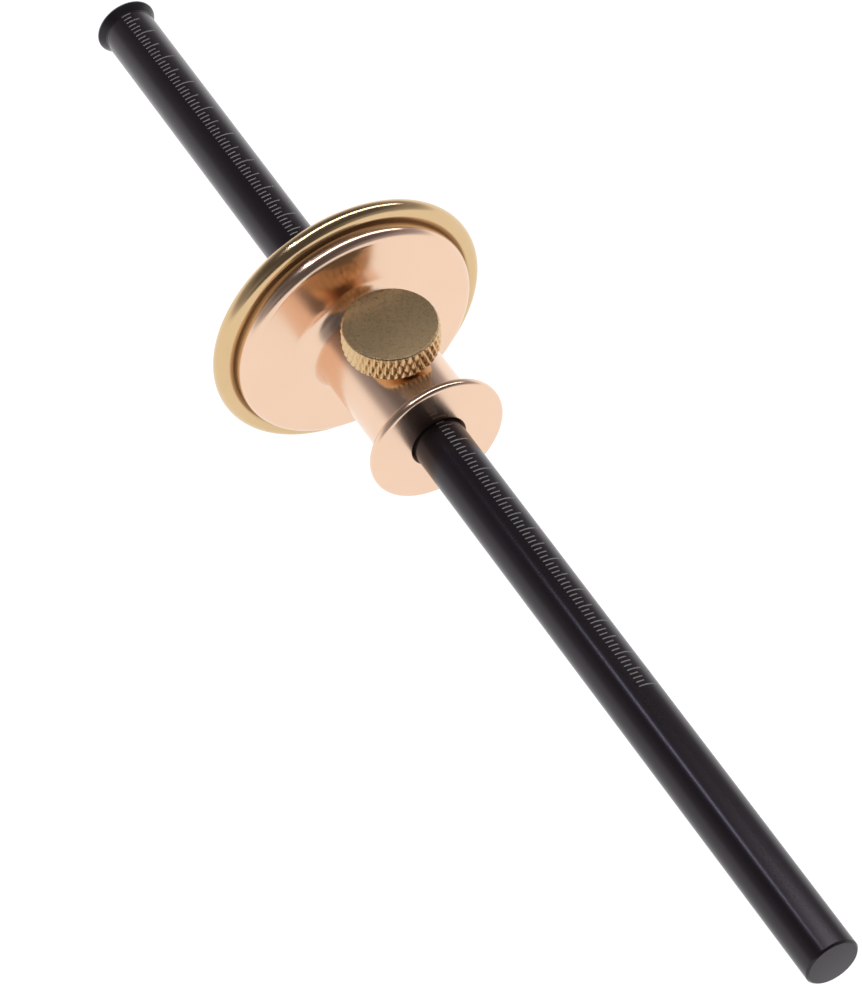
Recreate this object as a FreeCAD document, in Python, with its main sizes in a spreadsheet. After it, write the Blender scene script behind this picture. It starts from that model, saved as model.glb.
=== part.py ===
import FreeCAD, Part
import math
import os
import Sketcher

# Wheel marking gauge, in millimetres.
# The rod lies along X and the cutting wheel is at its +X end. The thumbscrew points up, along +Z.
# The origin is on the rod's axis, in the plane of the fence's working face, which faces +X.
# "_x" values are stations along the rod. The others are radii, lengths and clearances.

DIMENSIONS = {
    # rod
    "rod_radius": 4.0,
    "rod_front_x": 67.2,
    "rod_length": 200.0,
    "rod_chamfer": 0.3,
    "rod_tap_radius": 1.5,
    "rod_tap_depth": 8.0,
    # cutting wheel: flat outer face, sharp rim, bevel on the fence's side
    "wheel_radius": 4.8,
    "wheel_outer_x": 68.7,
    "wheel_hub_radius": 4.05,
    "wheel_hub_width": 0.25,
    "wheel_gap": 0.02,
    "wheel_hole_radius": 1.6,
    "wheel_sink_radius": 2.8,
    "wheel_sink_depth": 1.2,
    # countersunk screw in the wheel
    "wheel_screw_head_radius": 2.65,
    "wheel_screw_head_depth": 1.2,
    "wheel_screw_radius": 1.45,
    "wheel_screw_length": 7.2,
    "wheel_screw_recess": 0.1,
    "wheel_screw_socket_radius": 1.155,
    "wheel_screw_socket_depth": 0.95,
    # brass fence plate: a thin web with a rounded bead round its rim
    "plate_radius": 21.55,
    "plate_thickness": 2.3,
    "bead_thickness": 3.0,
    "bead_foot_radius": 18.52,
    "bead_top_radius": 19.3,
    "bead_round": 1.45,
    "plate_hole_radius": 5.4,
    # countersunk screws that hold the plate on the hub
    "plate_screw_ring_radius": 12.0,
    "plate_screw_hole_radius": 1.35,
    "plate_screw_sink_radius": 2.4,
    "plate_screw_head_radius": 2.2,
    "plate_screw_head_depth": 1.0,
    "plate_screw_radius": 1.2,
    "plate_screw_length": 4.5,
    "plate_screw_recess": 0.15,
    "plate_screw_socket_radius": 0.87,
    "plate_screw_socket_depth": 0.8,
    "hub_tap_radius": 1.25,
    "hub_tap_depth": 2.5,
    # hub: large flange, barrel and small flange
    "flange_radius": 18.5,
    "flange_front_x": -5.3,
    "flange_round": 1.0,
    "flange_fillet": 3.0,
    "barrel_radius": 7.7,
    "small_flange_radius": 10.6,
    "small_flange_back_x": -27.3,
    "small_flange_front_x": -28.8,
    "small_flange_round": 0.6,
    "bore_radius": 4.05,
    "bore_chamfer": 0.7,
    "ring_groove_radius": 5.35,
    "ring_groove_front_x": -22.6,
    "ring_groove_back_x": -24.2,
    "screw_hole_radius": 2.5,
    # rubber friction ring in the bore
    "ring_centre_radius": 4.66,
    "ring_cord_radius": 0.6,
    "ring_x": -23.4,
    # thumbscrew
    "screw_x": -15.6,
    "head_radius": 7.05,
    "head_top_z": 12.2,
    "head_bottom_z": 8.0,
    "head_chamfer": 0.25,
    "shank_radius": 2.45,
    "shank_tip_z": 4.9,
    "tip_hole_radius": 0.9,
    "tip_hole_depth": 1.2,
    # swivel pad under the thumbscrew's tip
    "pad_radius": 2.4,
    "pad_bottom_z": 4.06,
    "pad_top_z": 4.86,
    "pad_peg_radius": 0.8,
    "pad_peg_top_z": 5.9,
}
PLATE_SCREW_COUNT = 3
COUNTERSINK_ANGLE = 90
SAME_SIZE = 1e-4

doc = FreeCAD.newDocument("marking_gauge")
sheet = doc.addObject("Spreadsheet::Sheet", "Sizes")
for row, (alias, number) in enumerate(DIMENSIONS.items(), start=1):
    sheet.set(f"A{row}", alias)
    sheet.set(f"B{row}", str(number))
    sheet.setAlias(f"B{row}", alias)
doc.recompute()


def bound(text):
    """Turn a sum of cell names, such as "rod_front_x - rod_length", into an expression on the sheet."""
    return " ".join(word if word in "+-" else f"Sizes.{word}" for word in text.split())


def value(text):
    """Work out the same sum as a number, for the place where a sketch point starts."""
    total = 0.0
    sign = 1
    for word in text.split():
        if word in "+-":
            sign = 1 if word == "+" else -1
        else:
            total += sign * DIMENSIONS[word]
    return total


def new_body(name):
    body = doc.addObject("PartDesign::Body", name)
    body.Label = name
    return body


def new_sketch(body, plane, name, offset=""):
    """A sketch on one of the body's own origin planes, moved along its normal by the sum in offset."""
    sketch = body.newObject("Sketcher::SketchObject", name)
    support = next(item for item in body.Origin.OriginFeatures if item.Role == plane)
    sketch.AttachmentSupport = [(support, "")]
    sketch.MapMode = "FlatFace"
    if offset:
        sketch.setExpression("AttachmentOffset.Base.z", bound(offset))
    return sketch


def place_point(sketch, line, end, point):
    """Tie one end of a line to the sheet, across and up from the sketch's origin."""
    for kind, axis, text in (("DistanceX", -2, point[0]), ("DistanceY", -1, point[1])):
        if text == "0":
            sketch.addConstraint(Sketcher.Constraint("PointOnObject", line, end, axis))
        else:
            constraint = Sketcher.Constraint(kind, -1, 1, line, end, value(text))
            index = sketch.addConstraint(constraint)
            sketch.setExpression(f"Constraints[{index}]", bound(text))


def draw_outline(sketch, points):
    """A closed outline of straight lines through points, each a pair of sums of cell names."""
    corners = [
        FreeCAD.Vector(*(0.0 if text == "0" else value(text) for text in point), 0)
        for point in points
    ]
    count = len(corners)
    for index in range(count):
        sketch.addGeometry(Part.LineSegment(corners[index], corners[(index + 1) % count]))
    for index in range(count):
        following = (index + 1) % count
        sketch.addConstraint(Sketcher.Constraint("Coincident", index, 2, following, 1))
        place_point(sketch, index, 1, points[index])


def draw_circle(sketch, across, up, radius):
    """A circle whose centre and radius come from the sheet."""
    centre = [0.0 if text == "0" else value(text) for text in (across, up)]
    circle = Part.Circle(FreeCAD.Vector(*centre, 0), FreeCAD.Vector(0, 0, 1), value(radius))
    sketch.addGeometry(circle)
    place_point(sketch, 0, 3, (across, up))
    index = sketch.addConstraint(Sketcher.Constraint("Radius", 0, value(radius)))
    sketch.setExpression(f"Constraints[{index}]", bound(radius))


def turn(body, points, axis="H_Axis"):
    """Turn an outline in the XZ plane about the sketch's horizontal (X) or vertical (Z) axis."""
    sketch = new_sketch(body, "XZ_Plane", f"{body.Name}_profile")
    draw_outline(sketch, points)
    turned = body.newObject("PartDesign::Revolution", f"{body.Name}_turned")
    turned.Profile = sketch
    turned.ReferenceAxis = (sketch, [axis])
    turned.Angle = 360
    doc.recompute()
    return turned


def circle_edges(shape, radius, station):
    """Names of the circular edges about X with this radius whose centre is at this station."""
    names = []
    for number, edge in enumerate(shape.Edges, start=1):
        curve = edge.Curve
        if not isinstance(curve, Part.Circle):
            continue
        if abs(curve.Radius - radius) > SAME_SIZE or abs(curve.Center.x - station) > SAME_SIZE:
            continue
        names.append(f"Edge{number}")
    return names


def round_edges(body, base, edges, radius):
    """Round the circular edges given as (radius, station) sums."""
    names = []
    for edge_radius, station in edges:
        names += circle_edges(base.Shape, value(edge_radius), 0.0 if station == "0" else value(station))
    if len(names) < len(edges):
        raise RuntimeError(f"{body.Label}: an edge to round was not found")
    rounded = body.newObject("PartDesign::Fillet", f"{body.Name}_round_{radius}")
    rounded.Base = (base, names)
    rounded.setExpression("Radius", bound(radius))
    doc.recompute()
    return rounded


def drill(body, plane, name, centre, radius, depth, offset="", upwards=False):
    """Cut a round blind hole from a plane, against its normal or along it, and check that it cuts."""
    before = body.Shape.Volume
    sketch = new_sketch(body, plane, f"{name}_circle", offset)
    draw_circle(sketch, centre[0], centre[1], radius)
    hole = body.newObject("PartDesign::Pocket", name)
    hole.Profile = sketch
    hole.Reversed = upwards
    hole.setExpression("Length", bound(depth))
    doc.recompute()
    if body.Shape.Volume >= before:
        raise RuntimeError(f"{name} cut nothing")
    return hole


def repeat_round_x(body, feature, count):
    """Repeat a feature evenly about the body's X axis."""
    pattern = body.newObject("PartDesign::PolarPattern", f"{feature.Name}_ring")
    pattern.Originals = [feature]
    axis = next(item for item in body.Origin.OriginFeatures if item.Role == "X_Axis")
    pattern.Axis = (axis, [""])
    pattern.Angle = 360
    pattern.Occurrences = count
    body.Tip = pattern
    doc.recompute()
    return pattern


def make_rod():
    """Round rod with a chamfered plain end and a tapped hole for the wheel's screw."""
    body = new_body("rod")
    back = "rod_front_x - rod_length"
    turn(body, [
        (back, "0"),
        (back, "rod_radius - rod_chamfer"),
        (back + " + rod_chamfer", "rod_radius"),
        ("rod_front_x", "rod_radius"),
        ("rod_front_x", "rod_tap_radius"),
        ("rod_front_x - rod_tap_depth", "rod_tap_radius"),
        ("rod_front_x - rod_tap_depth", "0"),
    ])


def make_cutter_wheel():
    """Cutting wheel: the outer face is flat, and the bevel runs back to the rod's size."""
    body = new_body("cutter_wheel")
    inner = "rod_front_x + wheel_gap"
    sink_foot = "wheel_outer_x - wheel_sink_depth"
    turn(body, [
        (inner, "wheel_hole_radius"),
        (sink_foot, "wheel_hole_radius"),
        ("wheel_outer_x", "wheel_sink_radius"),
        ("wheel_outer_x", "wheel_radius"),
        (inner + " + wheel_hub_width", "wheel_hub_radius"),
        (inner, "wheel_hub_radius"),
    ])


def make_countersunk_screw(name, size):
    """Countersunk hex-socket screw along X, with the flat of its head at its own origin."""
    body = new_body(name)
    tip = f"- {size}_length"
    turn(body, [
        (tip, "0"),
        (tip, f"{size}_radius"),
        (f"- {size}_head_depth", f"{size}_radius"),
        ("0", f"{size}_head_radius"),
        ("0", "0"),
    ])
    before = body.Shape.Volume
    socket = body.newObject("PartDesign::SubtractivePrism", f"{name}_socket")
    plane = next(item for item in body.Origin.OriginFeatures if item.Role == "YZ_Plane")
    socket.AttachmentSupport = [(plane, "")]
    socket.MapMode = "FlatFace"
    socket.Polygon = 6
    socket.setExpression("Circumradius", bound(f"{size}_socket_radius"))
    socket.setExpression("Height", bound(f"{size}_socket_depth"))
    socket.setExpression("AttachmentOffset.Base.z", bound(f"- {size}_socket_depth"))
    doc.recompute()
    if body.Shape.Volume >= before:
        raise RuntimeError(f"{name} has no socket")
    return body


def make_cutter_screw():
    body = make_countersunk_screw("cutter_screw", "wheel_screw")
    body.setExpression("Placement.Base.x", bound("wheel_outer_x - wheel_screw_recess"))


def make_fence_screws():
    """Screws through the plate into the hub, evenly round the rod, one of them on top."""
    for number in range(PLATE_SCREW_COUNT):
        body = make_countersunk_screw(f"fence_screw_{number + 1}", "plate_screw")
        angle = 2 * math.pi * number / PLATE_SCREW_COUNT
        ring = bound("plate_screw_ring_radius")
        body.setExpression("Placement.Base.x", bound("- plate_screw_recess"))
        body.setExpression("Placement.Base.y", f"{ring} * {-math.sin(angle):.12f}")
        body.setExpression("Placement.Base.z", f"{ring} * {math.cos(angle):.12f}")


def make_fence_plate():
    """Brass disc: flat working face, round bead at the rim, and a hole that hides the wheel."""
    body = new_body("fence_plate")
    turned = turn(body, [
        ("0", "plate_hole_radius"),
        ("0", "plate_radius"),
        ("- bead_thickness", "plate_radius"),
        ("- bead_thickness", "bead_top_radius"),
        ("- plate_thickness", "bead_foot_radius"),
        ("- plate_thickness", "plate_hole_radius"),
    ])
    rim = [("plate_radius", "0"), ("plate_radius", "- bead_thickness")]
    round_edges(body, turned, rim, "bead_round")

    before = body.Shape.Volume
    sketch = new_sketch(body, "YZ_Plane", "plate_screw_circle")
    draw_circle(sketch, "0", "plate_screw_ring_radius", "plate_screw_hole_radius")
    doc.recompute()
    hole = body.newObject("PartDesign::Hole", "plate_screw_hole")
    hole.Profile = sketch
    hole.DepthType = "ThroughAll"
    hole.ThreadType = "None"
    hole.setExpression("Diameter", "2 * " + bound("plate_screw_hole_radius"))
    hole.HoleCutType = "Countersink"
    hole.HoleCutCustomValues = True
    hole.setExpression("HoleCutDiameter", "2 * " + bound("plate_screw_sink_radius"))
    hole.HoleCutCountersinkAngle = COUNTERSINK_ANGLE
    doc.recompute()
    one_hole = before - body.Shape.Volume
    repeat_round_x(body, hole, PLATE_SCREW_COUNT)
    all_holes = before - body.Shape.Volume
    if one_hole <= 0 or abs(all_holes - PLATE_SCREW_COUNT * one_hole) > 0.01 * all_holes:
        raise RuntimeError("fence_plate: the screw holes are wrong")


def make_hub():
    """Spool turned in one piece: large flange, barrel, small flange, and the rod's bore."""
    body = new_body("hub")
    seat = "- plate_thickness"
    mouth = "small_flange_front_x + bore_chamfer"
    turned = turn(body, [
        (seat, "bore_radius"),
        (seat, "flange_radius"),
        ("flange_front_x", "flange_radius"),
        ("flange_front_x", "barrel_radius"),
        ("small_flange_back_x", "barrel_radius"),
        ("small_flange_back_x", "small_flange_radius"),
        ("small_flange_front_x", "small_flange_radius"),
        ("small_flange_front_x", "bore_radius + bore_chamfer"),
        (mouth, "bore_radius"),
        ("ring_groove_back_x", "bore_radius"),
        ("ring_groove_back_x", "ring_groove_radius"),
        ("ring_groove_front_x", "ring_groove_radius"),
        ("ring_groove_front_x", "bore_radius"),
    ])
    rim = [("flange_radius", "flange_front_x")]
    rounded = round_edges(body, turned, rim, "flange_round")
    root = [("barrel_radius", "flange_front_x")]
    rounded = round_edges(body, rounded, root, "flange_fillet")
    small_rim = [
        ("small_flange_radius", "small_flange_back_x"),
        ("small_flange_radius", "small_flange_front_x"),
    ]
    round_edges(body, rounded, small_rim, "small_flange_round")

    top = ("screw_x", "0")
    drill(body, "XY_Plane", "screw_hole", top, "screw_hole_radius", "head_bottom_z", upwards=True)
    upper = ("0", "plate_screw_ring_radius")
    tap = drill(body, "YZ_Plane", "plate_tap", upper, "hub_tap_radius", "hub_tap_depth", seat)
    repeat_round_x(body, tap, PLATE_SCREW_COUNT)


def make_thumbscrew():
    """Round head on a plain shank, with a blind hole in its tip for the pad's peg."""
    body = new_body("thumbscrew")
    turn(body, [
        ("0", "head_top_z"),
        ("head_radius - head_chamfer", "head_top_z"),
        ("head_radius", "head_top_z - head_chamfer"),
        ("head_radius", "head_bottom_z + head_chamfer"),
        ("head_radius - head_chamfer", "head_bottom_z"),
        ("shank_radius", "head_bottom_z"),
        ("shank_radius", "shank_tip_z"),
        ("tip_hole_radius", "shank_tip_z"),
        ("tip_hole_radius", "shank_tip_z + tip_hole_depth"),
        ("0", "shank_tip_z + tip_hole_depth"),
    ], "V_Axis")
    body.setExpression("Placement.Base.x", bound("screw_x"))


def make_brake_pad():
    """Disc that bears on the rod, with a peg that turns in the thumbscrew's tip."""
    body = new_body("brake_pad")
    turn(body, [
        ("0", "pad_bottom_z"),
        ("pad_radius", "pad_bottom_z"),
        ("pad_radius", "pad_top_z"),
        ("pad_peg_radius", "pad_top_z"),
        ("pad_peg_radius", "pad_peg_top_z"),
        ("0", "pad_peg_top_z"),
    ], "V_Axis")
    body.setExpression("Placement.Base.x", bound("screw_x"))


def make_friction_ring():
    """Rubber ring of round section about the rod."""
    ring = doc.addObject("Part::Torus", "o_ring")
    ring.Label = "o_ring"
    ring.setExpression("Radius1", bound("ring_centre_radius"))
    ring.setExpression("Radius2", bound("ring_cord_radius"))
    ring.Placement = FreeCAD.Placement(
        FreeCAD.Vector(0, 0, 0), FreeCAD.Rotation(FreeCAD.Vector(0, 1, 0), 90)
    )
    ring.setExpression("Placement.Base.x", bound("ring_x"))


def check_document():
    """Stop if any object failed or any sub-part's shape is empty or not a valid solid."""
    for item in doc.Objects:
        if "Invalid" in item.State or "Error" in item.State:
            raise RuntimeError(f"{item.Label} failed: {item.State}")
    for item in sub_parts():
        shape = item.Shape
        if shape.isNull() or not shape.isValid() or len(shape.Solids) != 1:
            raise RuntimeError(f"{item.Label} is not one valid solid")


def sub_parts():
    return [item for item in doc.Objects if item.TypeId in ("PartDesign::Body", "Part::Torus")]


make_rod()
make_cutter_wheel()
make_cutter_screw()
make_fence_plate()
make_fence_screws()
make_hub()
make_friction_ring()
make_brake_pad()
make_thumbscrew()
doc.recompute()
check_document()

os.makedirs("parts", exist_ok=True)
for sub_part in sub_parts():
    sub_part.Shape.exportStep(f"parts/{sub_part.Label}.step")
    box = sub_part.Shape.BoundBox
    print(
        f"{sub_part.Label:16s} {sub_part.Shape.Volume:9.2f} mm3"
        f"  x {box.XMin:8.2f} {box.XMax:8.2f}"
        f"  y {box.YMin:7.2f} {box.YMax:7.2f}"
        f"  z {box.ZMin:7.2f} {box.ZMax:7.2f}"
    )
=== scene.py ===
import math

import bmesh
import bpy
import numpy as np
from bpy.props import FloatProperty, FloatVectorProperty, IntProperty, PointerProperty
from mathutils import Matrix, Vector


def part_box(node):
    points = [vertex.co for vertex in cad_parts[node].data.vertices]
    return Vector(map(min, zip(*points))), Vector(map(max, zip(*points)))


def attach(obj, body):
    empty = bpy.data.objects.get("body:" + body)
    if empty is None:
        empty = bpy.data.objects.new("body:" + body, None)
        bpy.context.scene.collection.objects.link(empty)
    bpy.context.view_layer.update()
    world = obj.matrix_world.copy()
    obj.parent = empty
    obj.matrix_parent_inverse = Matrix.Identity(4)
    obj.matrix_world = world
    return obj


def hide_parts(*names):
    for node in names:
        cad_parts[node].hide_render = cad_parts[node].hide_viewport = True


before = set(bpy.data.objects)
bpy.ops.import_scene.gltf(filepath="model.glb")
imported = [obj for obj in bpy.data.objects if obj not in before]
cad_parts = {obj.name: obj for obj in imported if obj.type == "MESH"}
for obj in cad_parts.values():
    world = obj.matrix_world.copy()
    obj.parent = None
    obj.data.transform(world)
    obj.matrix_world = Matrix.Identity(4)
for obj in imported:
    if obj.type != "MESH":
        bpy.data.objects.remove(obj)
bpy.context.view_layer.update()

bl_info = {
    "name": "Marking Gauge",
    "version": (1, 0, 0),
    "blender": (4, 5, 0),
    "location": "View3D > Sidebar > Gauge",
    "description": "Builds the visible pieces of a wheel marking gauge around its packed frame",
    "category": "Add Mesh",
}

MM = 0.001
INCH = 25.4 * MM
SMOOTH_ANGLE = math.radians(32)

# Stations along the rod, read from the frame. +X runs from the fence's working face to the wheel.
ROD_LOW, ROD_HIGH = (np.array(corner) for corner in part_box("rod"))
WHEEL_LOW, WHEEL_HIGH = (np.array(corner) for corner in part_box("cutter_wheel"))
PLATE_LOW, PLATE_HIGH = (np.array(corner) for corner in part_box("fence_plate"))
HUB_LOW, HUB_HIGH = (np.array(corner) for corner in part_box("hub"))
RING_LOW, RING_HIGH = (np.array(corner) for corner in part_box("o_ring"))
SCREW_LOW, SCREW_HIGH = (np.array(corner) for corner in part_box("thumbscrew"))
PAD_LOW, PAD_HIGH = (np.array(corner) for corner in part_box("brake_pad"))
ROD_RADIUS = (ROD_HIGH[2] - ROD_LOW[2]) / 2
HEAD_RADIUS = (SCREW_HIGH[0] - SCREW_LOW[0]) / 2
SCREW_X = (SCREW_HIGH[0] + SCREW_LOW[0]) / 2
SCALE_ZERO_X = WHEEL_HIGH[0]
# Head radius, head depth, shank radius, length, socket radius, socket depth and thread pitch.
CUTTER_SCREW = [number * MM for number in (2.5, 1.2, 1.45, 7.2, 1.155, 0.95, 0.5)]
FENCE_SCREW = [number * MM for number in (2.1, 1.0, 1.2, 4.5, 0.87, 0.8, 0.45)]
# How far the marks and digits reach under the rod's surface, so that no gap shows.
MARK_ROOT = 0.05 * MM
# Brightness of the surround, against height from straight down at 0 to straight up at 1.
SURROUND = (
    (0.0, (1.0, 1.0, 1.0)),
    (0.5, (1.0, 1.0, 1.0)),
    (0.54, (0.7, 0.69, 0.7)),
    (0.62, (0.38, 0.36, 0.38)),
    (0.70, (0.32, 0.3, 0.32)),
    (0.77, (0.16, 0.15, 0.16)),
    (0.86, (0.09, 0.085, 0.09)),
)


# ---------------------------------------------------------------- settings


def length(text, default, note=""):
    """A length in metres, shown in the scene's unit."""
    return FloatProperty(name=text, description=note or text, default=default, min=0.0, unit="LENGTH")


def degrees(text, default, note):
    """An angle, its default given in degrees."""
    return FloatProperty(name=text, description=note, default=math.radians(default), subtype="ANGLE")


def power(text, default, note):
    """The power of a light in watts."""
    return FloatProperty(name=text, description=note, default=default, min=0.0)


def colour(text, default, note=""):
    """A linear colour."""
    return FloatVectorProperty(
        name=text, description=note or text, default=default, size=3, subtype="COLOR", min=0.0, max=1.0
    )


class GAUGE_PG_rod(bpy.types.PropertyGroup):
    """Rod and its etched inch scale."""

    chamfer: length("Tail chamfer", 0.3 * MM)
    tap_radius: length("Tapped hole radius", 1.5 * MM)
    tap_depth: length("Tapped hole depth", 8.0 * MM)
    inches: IntProperty(name="Scale length", description="Scale length in inches", default=6, min=1)
    divisions: IntProperty(name="Marks per inch", description="Marks per inch", default=32, min=4)
    mark_width: length("Mark width", 0.21 * MM)
    short_mark: length("Odd mark", 1.25 * MM, "Length round the rod of the shortest marks")
    sixteenth_mark: length("Sixteenth mark", 1.5 * MM)
    eighth_mark: length("Eighth mark", 2.2 * MM)
    quarter_mark: length("Quarter mark", 3.2 * MM)
    mark_height: length("Mark height", 0.008 * MM, "How far the marks stand over the rod's surface")
    start_angle: degrees("Scale angle", 18.0, "Angle from the top at which the scale's zero stands")
    drift: degrees("Scale drift", -20.3, "How far the scale winds round the rod over its length")
    digit_height: length("Digit height", 1.3 * MM)


class GAUGE_PG_wheel(bpy.types.PropertyGroup):
    """Cutting wheel and the screws of the gauge."""

    land: length("Hub width", 0.35 * MM, "Width of the plain band beside the rod")
    hole_radius: length("Hole radius", 1.6 * MM)
    sink_radius: length("Countersink radius", 2.8 * MM)
    sink_depth: length("Countersink depth", 1.2 * MM)
    edge: length("Edge width", 0.03 * MM, "Width of the honed edge")


class GAUGE_PG_head(bpy.types.PropertyGroup):
    """Fence plate, hub and thumbscrew."""

    plate_thickness: length("Plate thickness", 2.3 * MM, "Thickness of the brass plate under the hub")
    bead_foot_radius: length("Bead foot radius", 18.52 * MM)
    bead_round: length("Bead radius", 1.5 * MM)
    plate_hole_radius: length("Plate hole radius", 5.4 * MM)
    flange_radius: length("Large flange radius", 18.85 * MM)
    flange_thickness: length("Large flange thickness", 3.0 * MM)
    flange_round: length("Large flange edge", 1.46 * MM)
    fillet: length("Barrel fillet", 3.0 * MM)
    barrel_radius: length("Barrel radius", 7.7 * MM)
    small_flange_radius: length("Small flange radius", 10.6 * MM)
    small_flange_thickness: length("Small flange thickness", 1.5 * MM)
    small_flange_round: length("Small flange edge", 0.6 * MM)
    bore_radius: length("Bore radius", 4.05 * MM)
    bore_chamfer: length("Bore chamfer", 0.35 * MM)
    groove_radius: length("Ring groove radius", 5.35 * MM)
    groove_half_width: length("Ring groove half width", 0.8 * MM)
    head_height: length("Knob height", 4.2 * MM)
    shank_radius: length("Shank radius", 2.45 * MM)
    thread_pitch: length("Thread pitch", 0.8 * MM)
    thread_depth: length("Thread depth", 0.42 * MM)
    knurls: IntProperty(name="Knurls", description="Diamonds round the knob", default=41, min=8)
    knurl_row: length("Knurl row", 1.45 * MM, "Height of one row of diamonds")
    knurl_depth: length("Knurl depth", 0.42 * MM)


class GAUGE_PG_finish(bpy.types.PropertyGroup):
    """Colours of the finishes."""

    black: colour("Black rod", (0.013, 0.0098, 0.0118))
    mark: colour("Scale marks", (0.235, 0.225, 0.225))
    gold: colour("Gold anodised", (0.84, 0.60, 0.445))
    brass: colour("Brass", (0.69, 0.495, 0.275))
    steel: colour("Screws", (0.55, 0.55, 0.56))
    rubber: colour("Friction ring", (0.012, 0.012, 0.012))


class GAUGE_PG_stage(bpy.types.PropertyGroup):
    """Floor, light and camera."""

    target: FloatVectorProperty(
        name="Target", description="Point that the camera looks at", size=3,
        default=(-23.64 * MM, -0.88 * MM, -17.54 * MM), subtype="TRANSLATION",
    )
    distance: length("Camera distance", 719.6 * MM)
    azimuth: degrees("Azimuth", 153.09, "Where the camera stands round the object")
    elevation: degrees("Elevation", 49.70, "How high the camera stands")
    roll: degrees("Roll", -3.08, "Turn of the camera about its own line of sight")
    lens: FloatProperty(name="Lens", description="Focal length in millimetres", default=181.03, min=1.0)
    floor: colour("Floor", (0.12, 0.12, 0.12))
    floor_size: length("Floor size", 8.0)
    overhead_width: length("Overhead light width", 0.19)
    overhead_power: power("Overhead light", 9.0, "Power of the overhead light in watts")
    rod_light_width: length("Rod light width", 0.005)
    rod_light_power: power("Rod light", 0.15, "Power of the light over the rod in watts")
    floor_drop: length("Floor drop", 15.0 * MM, "How far the floor lies under the disc's rim")


# ---------------------------------------------------------------- shader maths


class Value:
    """One number in a material's node tree, so that shader maths is written as arithmetic."""

    def __init__(self, tree, socket):
        self.tree = tree
        self.socket = socket

    def maths(self, operation, *others):
        """The result of a Math node with this number first."""
        numbers = {0: self}
        numbers.update({index: other for index, other in enumerate(others, start=1)})
        node = node_in(self.tree, "ShaderNodeMath", {"operation": operation}, numbers)
        return Value(self.tree, node.outputs[0])

    def __add__(self, other):
        return self.maths("ADD", other)

    def __sub__(self, other):
        return self.maths("SUBTRACT", other)

    def __mul__(self, other):
        return self.maths("MULTIPLY", other)

    def __truediv__(self, other):
        return self.maths("DIVIDE", other)

    def reflected(self, operation, other):
        """The result of a Math node with this number second."""
        node = node_in(self.tree, "ShaderNodeMath", {"operation": operation}, {0: other, 1: self})
        return Value(self.tree, node.outputs[0])

    def __rsub__(self, other):
        return self.reflected("SUBTRACT", other)

    def __rtruediv__(self, other):
        return self.reflected("DIVIDE", other)

    __radd__ = __add__
    __rmul__ = __mul__


def node_in(tree, kind, settings=None, inputs=None):
    """Add a node, set its settings, then give its sockets their values or links."""
    node = tree.nodes.new(kind)
    for name, setting in (settings or {}).items():
        if name == "stops":
            fill_ramp(node, setting)
        else:
            setattr(node, name, setting)
    for name, given in (inputs or {}).items():
        socket = node.inputs[name]
        if isinstance(given, Value):
            tree.links.new(given.socket, socket)
        elif isinstance(given, bpy.types.NodeSocket):
            tree.links.new(given, socket)
        else:
            socket.default_value = given
    return node


def fill_ramp(node, stops):
    """Give a Color Ramp its stops, each a place from 0 to 1 and a colour."""
    elements = node.color_ramp.elements
    while len(elements) < len(stops):
        elements.new(0.5)
    for element, (place, shade) in zip(elements, stops):
        element.position = place
        element.color = (*shade, 1.0)


class Finish:
    """A Principled material whose parts are added one by one."""

    def __init__(self, name, **constants):
        self.material = bpy.data.materials.new(name)
        self.material.use_nodes = True
        self.tree = self.material.node_tree
        self.tree.nodes.clear()
        self.shader = node_in(self.tree, "ShaderNodeBsdfPrincipled", {}, constants)
        output = node_in(self.tree, "ShaderNodeOutputMaterial")
        self.tree.links.new(self.shader.outputs[0], output.inputs["Surface"])
        self.place = self.node("ShaderNodeTexCoord").outputs["Object"]

    def node(self, kind, settings=None, inputs=None):
        """A node of this material's tree."""
        return node_in(self.tree, kind, settings, inputs)

    def value(self, socket):
        """A socket as a number for arithmetic."""
        return Value(self.tree, socket)

    def axes(self):
        """The x, y and z of the point, in millimetres."""
        split = self.node("ShaderNodeSeparateXYZ", {}, {0: self.place})
        return [self.value(split.outputs[index]) * 1000.0 for index in range(3)]

    def noise(self, scale, detail=3.0, stretch=(1.0, 1.0, 1.0), vector=None):
        """Noise from 0 to 1, with scale in cycles per millimetre, stretched along the axes."""
        size = tuple(1000.0 * scale / part for part in stretch)
        mapping = self.node("ShaderNodeMapping", {}, {"Vector": vector or self.place, "Scale": size})
        node = self.node(
            "ShaderNodeTexNoise", {},
            {"Vector": mapping.outputs[0], "Scale": 1.0, "Detail": detail, "Roughness": 0.55},
        )
        return self.value(node.outputs["Fac"])

    def line_noise(self, distance, frequency, detail=2.0):
        """Noise that changes only with one distance in millimetres, as fine turning marks do."""
        node = self.node(
            "ShaderNodeTexNoise", {"noise_dimensions": "1D"},
            {"W": distance * frequency, "Scale": 1.0, "Detail": detail, "Roughness": 0.6},
        )
        return self.value(node.outputs["Fac"])

    def mix(self, factor, low, high):
        """A colour between two, each given as a colour or a link."""
        sockets = {0: factor}
        for index, given in ((6, low), (7, high)):
            sockets[index] = given if isinstance(given, bpy.types.NodeSocket) else (*given, 1.0)
        return self.node("ShaderNodeMix", {"data_type": "RGBA"}, sockets).outputs[2]

    def bump(self, height, strength):
        """Relief 0.01 mm high that follows a number from 0 to 1."""
        node = self.node(
            "ShaderNodeBump", {}, {"Height": height, "Strength": strength, "Distance": 0.01 * MM}
        )
        self.tree.links.new(node.outputs[0], self.shader.inputs["Normal"])

    def set(self, name, given):
        """Link a number or a colour to one of the shader's sockets."""
        if isinstance(given, Value):
            given = given.socket
        self.tree.links.new(given, self.shader.inputs[name])


def tint(shade, amount):
    """The colour made lighter or darker by a share."""
    return tuple(min(1.0, part * amount) for part in shade)


def radius_of(first, second):
    """Distance from an axis, from the two coordinates across it."""
    squares = first * first + second * second
    return squares.maths("SQRT")


# ---------------------------------------------------------------- materials


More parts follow.
